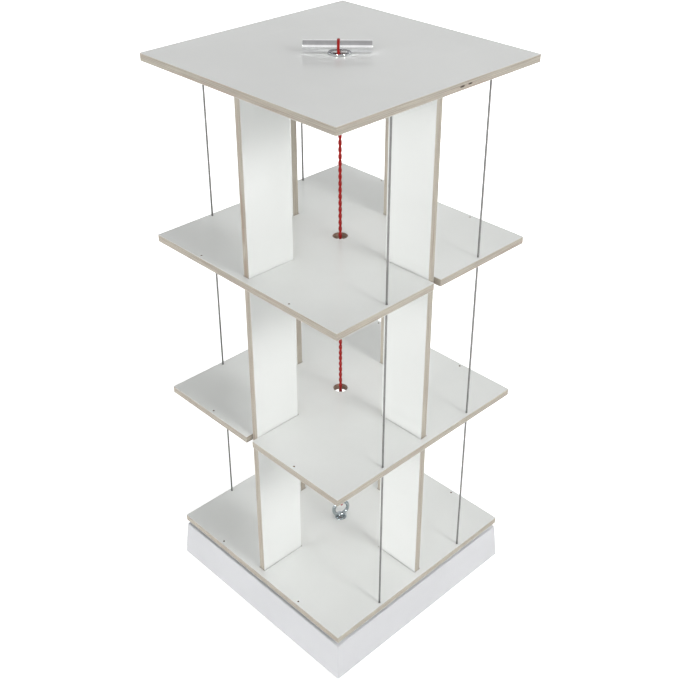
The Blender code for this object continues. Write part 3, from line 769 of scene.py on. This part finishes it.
def makeBoard(name, edgeFinish):
    low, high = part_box(name)
    z0, z1 = low.z, high.z
    notches, grooves = panelCuts(low, high)
    plan = boardPlan(high.x, notches)

    def share(z):  # of the thickness, from the lower face
        return (z - z0) / (z1 - z0)

    bm = bmesh.new()
    lengths = runOf(plan, boardShape["runs"][name])
    levels = [(z0 + z, inset) for z, inset in edgeLevels(z1 - z0)]
    rings = [ringAt(bm, insetLoop(plan, inset), z) for z, inset in levels]
    for i, (first, second) in enumerate(zip(rings, rings[1:])):
        heights = share(levels[i][0]), share(levels[i + 1][0])
        mapRun(bm, joinRings(bm, first, second, edgeSlot), lengths, heights)
    topLoops, bottomLoops = [rings[-1]], [rings[0]]
    for rectangle, mouthZ, endZ in grooves:
        mouth, end = ringAt(bm, rectangle, mouthZ), ringAt(bm, rectangle, endZ)
        walls = joinRings(bm, mouth, end, edgeSlot)
        mapRun(bm, walls, runOf(rectangle), (share(mouthZ), share(endZ)))
        bm.faces.new(end).material_index = edgeSlot
        (topLoops if mouthZ == z1 else bottomLoops).append(mouth)
    for centre, outline, sides in boardHoles(name, z0, z1):
        loops = [circleAt(bm, r, z, sides, centre) for r, z in outline]
        for i, (first, second) in enumerate(zip(loops, loops[1:])):
            faces = joinRings(bm, first, second, boreSlot)
            if len(second) > 1:
                turn = [outline[i][0] * tau * k / sides for k in range(sides + 1)]
                mapRun(bm, faces, turn, (share(outline[i][1]), share(outline[i + 1][1])))
        (topLoops if outline[0][1] == z1 else bottomLoops).append(loops[0])
        if len(loops[-1]) > 1:
            bottomLoops.append(loops[-1])
    fillCap(bm, topLoops)
    fillCap(bm, bottomLoops)
    finishes = [laminate, edgeFinish, shadedPlyBore]
    seat(newPiece(titleOf(name), bm, finishes, boardShape["smooth"]), "tower", name)


for name in boardShape["runs"]:
    makeBoard(name, topEdge if name == "top_board" else plyEdge)
print("boards made")


# upright panels

panelShape = {
    "veneer": 4.3,  # metres of veneer from one panel to the next
    "innerVeneer": 1.7,  # and from a panel's outer edge to its inner one
}


def makePanel(name, edgeFinish, start):
    low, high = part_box(name)
    quarter, outer, inner, half = panelPlace(name)
    levels = edgeLevels(2 * half)
    count = len(levels)
    plan = [(outer - inset, t - half) for t, inset in levels]
    plan = turned(plan + [(inner + inset, t - half) for t, inset in reversed(levels)], quarter)
    bm = bmesh.new()
    foot, head = ringAt(bm, plan, low.z), ringAt(bm, plan, high.z)
    layer = bm.loops.layers.uv.new("edgeRun")
    for i, face in enumerate(joinRings(bm, foot, head)):
        k = i % count
        if k == count - 1:
            continue  # the two wide faces keep the laminate
        face.material_index = edgeSlot
        run = start
        shares = [levels[k][0] / (2 * half), levels[k + 1][0] / (2 * half)]
        if i >= count:
            run += panelShape["innerVeneer"]
            shares = [1 - share for share in shares]
        heights = (low.z, low.z, high.z, high.z)
        for loop, z, share in zip(face.loops, heights, (*shares, *reversed(shares))):
            loop[layer].uv = (run + z, share)
    for ring in (foot, head):
        bm.faces.new(ring).material_index = edgeSlot
    finishes = [laminate, edgeFinish]
    seat(newPiece(titleOf(name), bm, finishes, boardShape["smooth"]), "tower", name)


for i, name in enumerate(panelNames):
    makePanel(name, streakEdge if name == "front_short_panel" else plyEdge, panelShape["veneer"] * i)
print("panels made")


# book-stop rods

rodShape = {"sides": 24, "endRound": 0.0006, "endSteps": 3}


def makeRod(name, shape):
    low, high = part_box(name)
    radius, r, steps = (high.x - low.x) / 2, shape["endRound"], shape["endSteps"]
    foot = arc((radius - r, low.z + r), (r, r), -pi / 2, 0, steps)
    head = arc((radius - r, high.z - r), (r, r), 0, pi / 2, steps)
    bm = bmesh.new()
    addTurned(bm, [(0, low.z)] + foot + head + [(0, high.z)], shape["sides"])
    moveOver(bm, low, high)
    seat(newPiece(titleOf(name), bm, [metals["rodSteel"]]), "tower", name)


for name in ("right_rod_1", "right_rod_2", "left_rod_1", "left_rod_2"):
    makeRod(name, rodShape)
print("rods made")


# rosette and tommy bar

barShape = {
    "heading": 44.5,
    "length": 0.1225,
    "endRound": 0.0003,
    "endSteps": 6,
    "endRim": 0.0035,  # width of the outermost ring of faces on each end
    "bands": 6,  # on each half of its length
    "sides": 96,
}


def barLay():
    # from upright to lying along the bar, round the bar's middle
    low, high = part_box("tommy_bar")
    turn = Matrix.Rotation(radians(barShape["heading"]), 4, "Z") @ Matrix.Rotation(pi / 2, 4, "Y")
    return Matrix.Translation((low + high) / 2) @ turn


rosetteShape = {
    "bore": 0.0151,
    "height": 0.0036,
    "sleeve": 0.0166,
    "sleeveEdge": 0.0004,
    "edge": 0.0006,
    "mouth": 0.0012,  # rounding where the cord runs over the ring
    "steps": {"mouth": 10, "edge": 8},
    "saddle": 0.0111,  # radius of the hollow that the bar lies in
    "sides": 128,
}


def makeRosette(shape):
    # a low ring with a sleeve, and a hollow across it that the bar lies in
    low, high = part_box("rosette")
    base, top, rim = high.z - shape["height"], high.z, high.x
    bore, sleeve, sleeveEdge = shape["bore"], shape["sleeve"], shape["sleeveEdge"]
    lip, edge, steps = shape["mouth"], shape["edge"], shape["steps"]
    outline = arc((bore + lip, top - lip), (lip, lip), pi, pi / 2, steps["mouth"])
    outline += arc((rim - edge, top - edge), (edge, edge), pi / 2, 0, steps["edge"])
    outline += [(rim, base), (sleeve, base)]
    outline += [(sleeve, low.z + sleeveEdge), (sleeve - sleeveEdge, low.z), (bore, low.z)]
    bm = bmesh.new()
    addTurned(bm, outline, shape["sides"], closed=True)
    piece = newPiece("cordRosette", bm, [metals["bushMetal"]])

    bm = bmesh.new()
    saddle, sides = shape["saddle"], shape["sides"]
    bmesh.ops.create_cone(
        bm, cap_ends=True, segments=sides, radius1=saddle, radius2=saddle, depth=4 * rim, matrix=barLay(),
    )
    cutter = addObject("hollow", meshOf("hollow", bm))
    piece.modifiers.new("saddle", "BOOLEAN").object = cutter
    applyModifiers(piece)
    bpy.data.objects.remove(cutter)
    piece.data.shade_smooth()
    piece.data.set_sharp_from_angle(angle=hardEdge)
    seat(piece, "bar", "rosette")


def makeBar(shape):
    low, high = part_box("tommy_bar")
    radius, half = (high.z - low.z) / 2, shape["length"] / 2
    r, bands = shape["endRound"], shape["bands"]
    end = [(0, half), (radius - shape["endRim"], half)]
    end += arc((radius - r, half - r), (r, r), pi / 2, 0, shape["endSteps"])
    side = [(radius, half * k / bands) for k in range(bands - 1, -bands, -1)]
    bm = bmesh.new()
    addTurned(bm, end + side + [(x, -z) for x, z in reversed(end)], shape["sides"])
    piece = newPiece("tommyBar", bm, [metals["polishedMetal"]])
    piece.matrix_world = barLay()  # its own z runs along the bar, for the drawn lines of the finish
    seat(piece, "bar", "tommy_bar")


makeRosette(rosetteShape)
makeBar(barShape)
print("rosette and bar made")


# eye bolt, one forging: ring, collar and shank melted together

eyeShape = {
    "ring": 0.0175,  # radius to the middle of the section
    "section": 0.004,
    "heading": 72.0,
    "seatGap": 0.0003,
    "collar": 0.01375,
    "collarHeight": 0.005,
    "collarWall": 0.0022,  # height of its upright side
    "collarTop": 0.004,  # radius of its flat top
    "collarEdge": 0.0004,
    "shank": 0.004,
    "shankEdge": 0.0006,
    "sides": {"ring": 64, "section": 24, "collar": 48},
    "crownSteps": 10,
    "voxel": 0.0006,
    "easing": 0.5,
    "easings": 4,
}


def makeEyeBolt(shape):
    low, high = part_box("eye_bolt")
    ringZ = high.z - shape["ring"] - shape["section"]
    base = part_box("bottom_board")[1].z + shape["seatGap"]
    top, wall = base + shape["collarHeight"], base + shape["collarWall"]
    collar, flat, shank = shape["collar"], shape["collarTop"], shape["shank"]
    edge, tip, sides = shape["collarEdge"], shape["shankEdge"], shape["sides"]
    bm = bmesh.new()
    section = arc((shape["ring"], 0), (shape["section"], shape["section"]), 0, tau, sides["section"])[:-1]
    ring = addTurned(bm, section, sides["ring"], closed=True)
    stand = Matrix.Rotation(radians(shape["heading"]), 4, "Z") @ Matrix.Rotation(pi / 2, 4, "X")
    bmesh.ops.transform(bm, matrix=Matrix.Translation((0, 0, ringZ)) @ stand, verts=ring)
    outline = [(0, top)] + arc((flat, wall), (collar - flat, top - wall), pi / 2, 0, shape["crownSteps"])
    outline += [(collar, base + edge), (collar - edge, base), (shank, base)]
    outline += [(shank, low.z + tip), (shank - tip, low.z), (0, low.z)]
    addTurned(bm, outline, sides["collar"])
    piece = newPiece("eyeBolt", bm, [metals["zincPlate"]], allSmooth)
    melt = piece.modifiers.new("melt", "REMESH")
    melt.mode, melt.voxel_size, melt.use_smooth_shade = "VOXEL", shape["voxel"], True
    ease = piece.modifiers.new("ease", "SMOOTH")
    ease.factor, ease.iterations = shape["easing"], shape["easings"]
    applyModifiers(piece)
    seat(piece, "tower", "eye_bolt")


makeEyeBolt(eyeShape)
print("eye bolt made")


# cord: one endless strand, doubled and twisted, round the bar above and through the eye below

cordShape = {
    "strand": 0.0022,  # radius
    "lay": 0.0013,  # from the axis to each strand, pressed flat against each other
    "turns": 36,
    "perTurn": 20,
    "runIn": 0.012,  # length over which the twist starts and stops
    "sides": 12,
    "barWrap": 0.0123,  # radius of the strand's middle round the bar, and round the eye
    "eyeWrap": 0.0062,
    "eyeHeading": 162.0,
    "spare": 1.05,  # factor on the rise in which the strands part round a bar
    "joinDepth": 0.0056,  # below the top face, added to that rise
    "steps": {"parting": 14, "beside": 5, "over": 28},
    "lean": -0.0023,  # how far the loop hangs off the axis, along the bar
    "flat": (1.22, 0.56),  # width and thickness of the strand where it is pressed on the bar
    "still": 0.03,  # length above the eye
}


def barWay():
    heading = radians(barShape["heading"])
    return Vector((cos(heading), sin(heading), 0))


def partingRise(wrap):
    lay = cordShape["lay"]
    return cordShape["spare"] * pi * sqrt(wrap * (wrap - lay) / 2)


def cordBight(wrap, heading, height, way, drop=0.0):
    # half round a bar, straight beside it for the drop, then drawn together
    lay, steps = cordShape["lay"], cordShape["steps"]
    shares = [i / steps["parting"] for i in range(steps["parting"])]
    rise = partingRise(wrap)
    leg = [(lay + (wrap - lay) * (1 - cos(pi * s)) / 2, rise * (s - 1) - drop) for s in shares]
    if drop:
        leg += [(wrap, -drop * (1 - i / steps["beside"])) for i in range(steps["beside"])]
    outline = leg + arc((0, 0), (wrap, wrap), 0, pi, steps["over"]) + [(-x, z) for x, z in reversed(leg)]
    return [Vector((x * cos(heading), x * sin(heading), height + way * z)) for x, z in outline]


def cordPath(shape):
    bar, eye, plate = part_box("tommy_bar"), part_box("eye_bolt"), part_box("top_board")[1].z
    barZ, eyeZ = (bar[0].z + bar[1].z) / 2, eye[1].z - eyeShape["section"]
    lay, runIn = shape["lay"], shape["runIn"]
    first, last = radians(barShape["heading"]) + pi / 2, radians(shape["eyeHeading"])
    top = plate - partingRise(shape["barWrap"]) - shape["joinDepth"]
    length = top - eyeZ - partingRise(shape["eyeWrap"])
    twist = last - first - tau * shape["turns"]
    rate = twist / (length - runIn)
    steps = shape["turns"] * shape["perTurn"]

    def strand(offset):  # from the bar down to the eye
        points = []
        for i in range(steps):
            down = length * i / steps
            left = length - down
            angle = rate * (down - runIn / 2)
            if down < runIn:
                angle = rate * down ** 2 / (2 * runIn)
            if left < runIn:
                angle = twist - rate * left ** 2 / (2 * runIn)
            angle += first + offset
            points.append(Vector((lay * cos(angle), lay * sin(angle), top - down)))
        return points

    over = cordBight(shape["barWrap"], first, barZ, 1, barZ - plate)  # from the first strand to the other
    for point in over:
        point += barWay() * shape["lean"] * min((point.z - top) / (plate - top), 1.0)
    under = cordBight(shape["eyeWrap"], last, eyeZ, -1)
    return strand(0.0) + under + strand(pi)[::-1] + over[::-1]


def loopFrames(path, lengths):
    # tangent and normal at each point of a closed path, without a kink where it closes
    count = len(path)
    tangents = [(path[(i + 1) % count] - path[i - 1]).normalized() for i in range(count)]
    normal = tangents[0].orthogonal().normalized()
    normals = [normal]
    for before, after in zip(tangents, tangents[1:] + tangents[:1]):
        normal = before.rotation_difference(after) @ normal
        normals.append(normal)
    closing = normals.pop().rotation_difference(normals[0])  # what is missing after one round
    miss = closing.angle * (1 if closing.axis.dot(tangents[0]) > 0 else -1)
    turns = [miss * length / lengths[-1] for length in lengths]
    normals = [Matrix.Rotation(a, 3, t) @ n for a, t, n in zip(turns, tangents, normals)]
    return zip(tangents, normals)


def makeCord(shape):
    path, sides = cordPath(shape), shape["sides"]
    lengths = runOf(path)
    plate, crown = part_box("top_board")[1].z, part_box("tommy_bar")[1].z
    bm = bmesh.new()
    rings = []
    for point, (tangent, normal) in zip(path, loopFrames(path, lengths)):
        side = tangent.cross(normal)
        press = min(max((point.z - plate) / (crown - plate), 0.0), 1.0)
        wide, thin = (1 + (value - 1) * press for value in shape["flat"])
        ring = []
        for k in range(sides):
            out = (normal * cos(tau * k / sides) + side * sin(tau * k / sides)) * shape["strand"]
            level = barWay() * out.dot(barWay())
            ring.append(bm.verts.new(point + level * wide + (out - level) * thin))
        rings.append(ring)
    layer = bm.loops.layers.uv.new("strandRun")
    for first, second, here, after in zip(rings, rings[1:] + rings[:1], lengths, lengths[1:]):
        for k, face in enumerate(joinRings(bm, first, second)):
            low, high = k / sides, (k + 1) / sides
            for loop, value in zip(face.loops, ((here, low), (here, high), (after, high), (after, low))):
                loop[layer].uv = value
    piece = newPiece("twistedCord", bm, [redCord], allSmooth)
    print("cord is one loop of", round(lengths[-1], 3), "m of strand")
    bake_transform(piece)
    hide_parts("cord", "cord_loop")


makeCord(cordShape)


# plinth, glides and bearing

plinthShape = {
    "bend": 0.003,
    "bendSteps": 8,
    "sheet": 0.003,
    "lip": 0.026,  # width of the sheet turned in at the foot
    "flare": 0.0065,
    "bands": (0.020, 0.045),  # below the top, rings of points that keep the wall flat
    "footBand": 0.020,
    "footEdge": 0.0006,
    "footRound": 0.0002,
    "edge": 0.0004,
    "innerBend": 0.001,
    "smooth": radians(30),
}


def squareRing(half, radius, steps):
    corner = arc((half - radius, half - radius), (radius, radius), 0, pi / 2, steps)
    return [p for quarter in range(4) for p in turned(corner, quarter)]


def makePlinth(shape):
    low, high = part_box("plinth")
    z0, z1, foot, top = low.z, high.z, high.x, high.x - shape["flare"]
    r, s, steps = shape["bend"], shape["sheet"], shape["bendSteps"]
    edge, tip, inner = shape["edge"], shape["footEdge"], shape["innerBend"]
    lip = foot - shape["lip"]

    def halfAt(z):
        return foot - shape["flare"] * (z - z0) / (z1 - z0)

    # (half width, height, corner radius) from the middle of the top, down outside and up inside
    bends = [pi / 2 * i / steps for i in range(steps + 1)]
    levels = [(top - r + r * sin(a), z1 - r + r * cos(a), max(r * sin(a), edge)) for a in bends]
    bands = [z1 - band for band in shape["bands"]] + [z0 + shape["footBand"], z0 + tip]
    levels += [(halfAt(z), z, r) for z in bands]
    levels += [(foot - shape["footRound"], z0 + shape["footRound"], r), (foot - tip, z0, r)]
    levels += [(lip + edge, z0, inner), (lip, z0 + edge, inner), (lip, z0 + s, inner)]
    levels += [(halfAt(z) - s, z, inner) for z in (z0 + s, z1 - s)]
    bm = bmesh.new()
    rings = [ringAt(bm, squareRing(half, radius, steps), z) for half, z, radius in levels]
    for first, second in zip(rings, rings[1:]):
        joinRings(bm, first, second)
    bm.faces.new(rings[0])
    bm.faces.new(rings[-1])
    piece = newPiece("plinthShell", bm, [plinthPaint], shape["smooth"])
    piece.modifiers.new("evenShading", "WEIGHTED_NORMAL").keep_sharp = True
    seat(piece, "base", "plinth")


glideShape = {
    "chamfer": 0.0006,
    "chamferSteps": 4,
    "padEdge": 0.0002,
    "stem": 0.003,
    "stemLength": 0.007,
    "stemEdge": 0.0004,
    "sides": 48,
}


def makeGlide(name, shape):
    low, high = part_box(name)
    pad, thick = (high.x - low.x) / 2, high.z - shape["stemLength"]
    chamfer, edge = shape["chamfer"], shape["padEdge"]
    stem, tip = shape["stem"], shape["stemEdge"]
    foot = arc((pad - chamfer, chamfer), (chamfer, chamfer), -pi / 2, 0, shape["chamferSteps"])
    collar = [(pad, thick - edge), (pad - edge, thick)]
    head = [(stem, thick), (stem, high.z - tip), (stem - tip, high.z), (0, high.z)]
    bm = bmesh.new()
    addTurned(bm, [(0, 0)] + foot + collar + head, shape["sides"])
    moveOver(bm, low, high)
    seat(newPiece(titleOf(name), bm, [plastics["glidePlastic"]]), "base", name)


ballShape = {"meridians": 24, "rings": 16}


def makeBalls(shape):
    bm = bmesh.new()
    names = sorted(name for name in nodes if name.startswith("ball_") and name != "ball_cage")
    for name in names:
        low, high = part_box(name)
        bmesh.ops.create_uvsphere(
            bm, u_segments=shape["meridians"], v_segments=shape["rings"], radius=(high.z - low.z) / 2,
            matrix=Matrix.Translation((low + high) / 2),
        )
    piece = newPiece("bearingBalls", bm, [metals["bearingSteel"]], allSmooth)
    seat(piece, "cage", *names)


makePlinth(plinthShape)
for i in range(1, 5):
    makeGlide(f"glide_{i}", glideShape)
makeBalls(ballShape)

carriedOver = {  # solids of the frame that keep their shape
    "upper_ring": metals["bearingSteel"],
    "lower_ring": metals["bearingSteel"],
    "ball_cage": plastics["cagePlastic"],
    "eye_washer": metals["zincPlate"],
    "eye_nut": metals["zincPlate"],
    **{f"{side}_screw_{i}": metals["bearingSteel"] for side in ("upper", "lower") for i in range(1, 5)},
}
for name, finish in carriedOver.items():
    nodes[name].data.materials.clear()
    nodes[name].data.materials.append(finish)
print("plinth, glides and bearing made")


# floor, sky, lamps and camera


def shownRays(start):
    # rays that look at the backdrop: from the camera, off gloss and through clear pieces
    shown = start.node("LightPath", output="Is Camera Ray")
    gloss, clear = shown.also("Is Glossy Ray"), shown.also("Is Transmission Ray")
    return shown.maths("MAXIMUM", gloss).maths("MAXIMUM", clear)


floorLook = {
    "level": 0.86,
    "patch": 0.985,  # factor on the level in its patches
    "patches": 1.5,
    "half": 30.0,
    "cells": 4,
    "lift": 0.64,  # added to what is seen of it, so that only the shadow stays below white
    "fade": (0.8, 3.0),  # distances between which what is added rises to 1
}


def makeFloor(look):
    material, start = newFinish("paleFloor")
    place = start.node("TexCoord", output="Object")
    tone = place.noise(look["patches"], detail=3.0)
    colour = tone.tint(grey(look["level"]), grey(look["level"] * look["patch"]))
    plain = start.node("BsdfDiffuse", {}, {"Color": colour})
    far = place.node("VectorMath", {"operation": "LENGTH"}, {0: place}, "Value").step(*look["fade"])
    glow = start.node("Emission", {}, {"Color": far.tint(grey(look["lift"]), grey(1))})
    lifted = start.node("AddShader", {}, {0: plain, 1: glow})
    surface = start.node("MixShader", {}, {0: shownRays(start), 1: plain, 2: lifted})
    start.node("OutputMaterial", {}, {"Surface": surface})
    bm = bmesh.new()
    bmesh.ops.create_grid(bm, x_segments=look["cells"], y_segments=look["cells"], size=look["half"])
    floor = addObject("floor", meshOf("floor", bm, [material]))
    floor.location.z = cadBox[0].z


skyLook = {
    "low": 0.51,
    "high": 0.28,
    "turn": (0.38, 0.50),  # sine of the height where the sky starts and stops darkening
    "seenLow": 1.0,  # the same as the camera and gloss see it
    "seenHigh": 0.42,
    "seenTurn": (0.50, 0.68),
}


def makeSky(look):
    world = bpy.data.worlds.new("studioSky")
    bpy.context.scene.world = world
    world.use_nodes = True
    world.node_tree.nodes.clear()
    start = Wire(world.node_tree)
    place = start.node("TexCoord", output="Generated")
    height = start.node("SeparateXYZ", {}, {"Vector": place}, "Z")
    lit = look["low"] + (look["high"] - look["low"]) * height.step(*look["turn"])
    seen = look["seenLow"] + (look["seenHigh"] - look["seenLow"]) * height.step(*look["seenTurn"])
    shown = shownRays(start)
    level = shown * seen + (1 - shown) * lit
    sky = start.node("Background", {}, {"Color": grey(1), "Strength": level})
    start.node("OutputWorld", {}, {"Surface": sky})


softboxes = {  # a spread below 180 is a grid on the box
    "frontLeftBox": {"at": (-2.04, -5.62, 1.17), "aim": 0, "size": 2.2, "spread": 70, "power": 19.6},
    "frontBox": {"at": (1.96, -5.39, 2.4), "aim": 0, "size": 3.0, "spread": 70, "power": 13.5},
    "rightBox": {"at": (5.56, 0.19, 2.9), "aim": 0, "size": 1.6, "spread": 70, "power": 10.8},
    "rightHighBox": {"at": (5.19, 0.18, 3.65), "aim": 0, "size": 1.6, "spread": 70, "power": 7.5},
    "rightRearBox": {"at": (5.12, 0.9, 3.65), "aim": 0.65, "size": 2.6, "spread": 180, "power": 44.0},
    "backHighBox": {"at": (3.34, 3.98, 3.65), "aim": 0.65, "size": 2.6, "spread": 180, "power": 40.0},
    "backBox": {"at": (-1.0, 5.65, 2.4), "aim": 0.65, "size": 2.6, "spread": 180, "power": 75.0},
    "backLowBox": {"at": (0.9, 2.4, 0.4), "aim": 0.5, "size": 1.2, "spread": 180, "power": 7.4},
    "leftBox": {"at": (-5.18, -2.99, 1.17), "aim": 0.65, "size": 2.6, "spread": 180, "power": 41.0},
}
glints = {  # highlights for the shiny pieces alone
    "frontGlint": {"at": (1.77, -5.46, 2.87), "aim": 1.2, "size": 1.2, "spread": 20, "power": 8.0},
    "rightGlint": {"at": (5.74, 0.0, 2.95), "aim": 1.2, "size": 1.2, "spread": 20, "power": 14.0},
}
shinyPieces = ("cordRosette", "tommyBar", "eyeBolt")


def hangLamp(name, box):
    light = bpy.data.lights.new(name, "AREA")
    light.shape, light.size, light.spread = "SQUARE", box["size"], radians(box["spread"])
    light.energy = box["power"]
    lamp = addObject(name, light)
    lamp.location = box["at"]
    way = Vector((0, 0, box["aim"])) - Vector(box["at"])  # towards this height on the upright axis
    lamp.rotation_euler = way.to_track_quat("-Z", "Y").to_euler()
    return lamp


def makeLamps():
    for name, box in softboxes.items():
        hangLamp(name, box).visible_glossy = False  # the boards would mirror it as a white patch
    shiny = bpy.data.collections.new("shinyPieces")
    for name in shinyPieces:
        shiny.objects.link(bpy.data.objects[name])
    for name, box in glints.items():
        lamp = hangLamp(name, box)
        lamp.visible_diffuse = False
        lamp.light_linking.receiver_collection = shiny


cameraLook = {
    "at": (1.29247, -1.24913, 1.75672),
    "heading": 45.9969,
    "height": 30.6131,
    "roll": -0.1290,
    "sensor": 36.0,
    "lens": 55.1883,
    "shift": -0.0621,
}


def makeCamera(look):
    a, e, roll = radians(look["heading"]), radians(look["height"]), radians(look["roll"])
    back = Vector((sin(a) * cos(e), -cos(a) * cos(e), sin(e)))
    right = Vector((cos(a), sin(a), 0))
    up = back.cross(right)
    right, up = right * cos(roll) + up * sin(roll), up * cos(roll) - right * sin(roll)
    data = bpy.data.cameras.new("photoView")
    data.sensor_width, data.lens, data.shift_y = look["sensor"], look["lens"], look["shift"]
    camera = addObject("photoView", data)
    turn = Matrix((right, up, back)).transposed().to_4x4()
    camera.matrix_world = Matrix.Translation(look["at"]) @ turn
    bpy.context.scene.camera = camera


makeFloor(floorLook)
makeSky(skyLook)
makeLamps()
makeCamera(cameraLook)
bpy.context.scene.view_settings.view_transform = "Standard"
print("stage set")
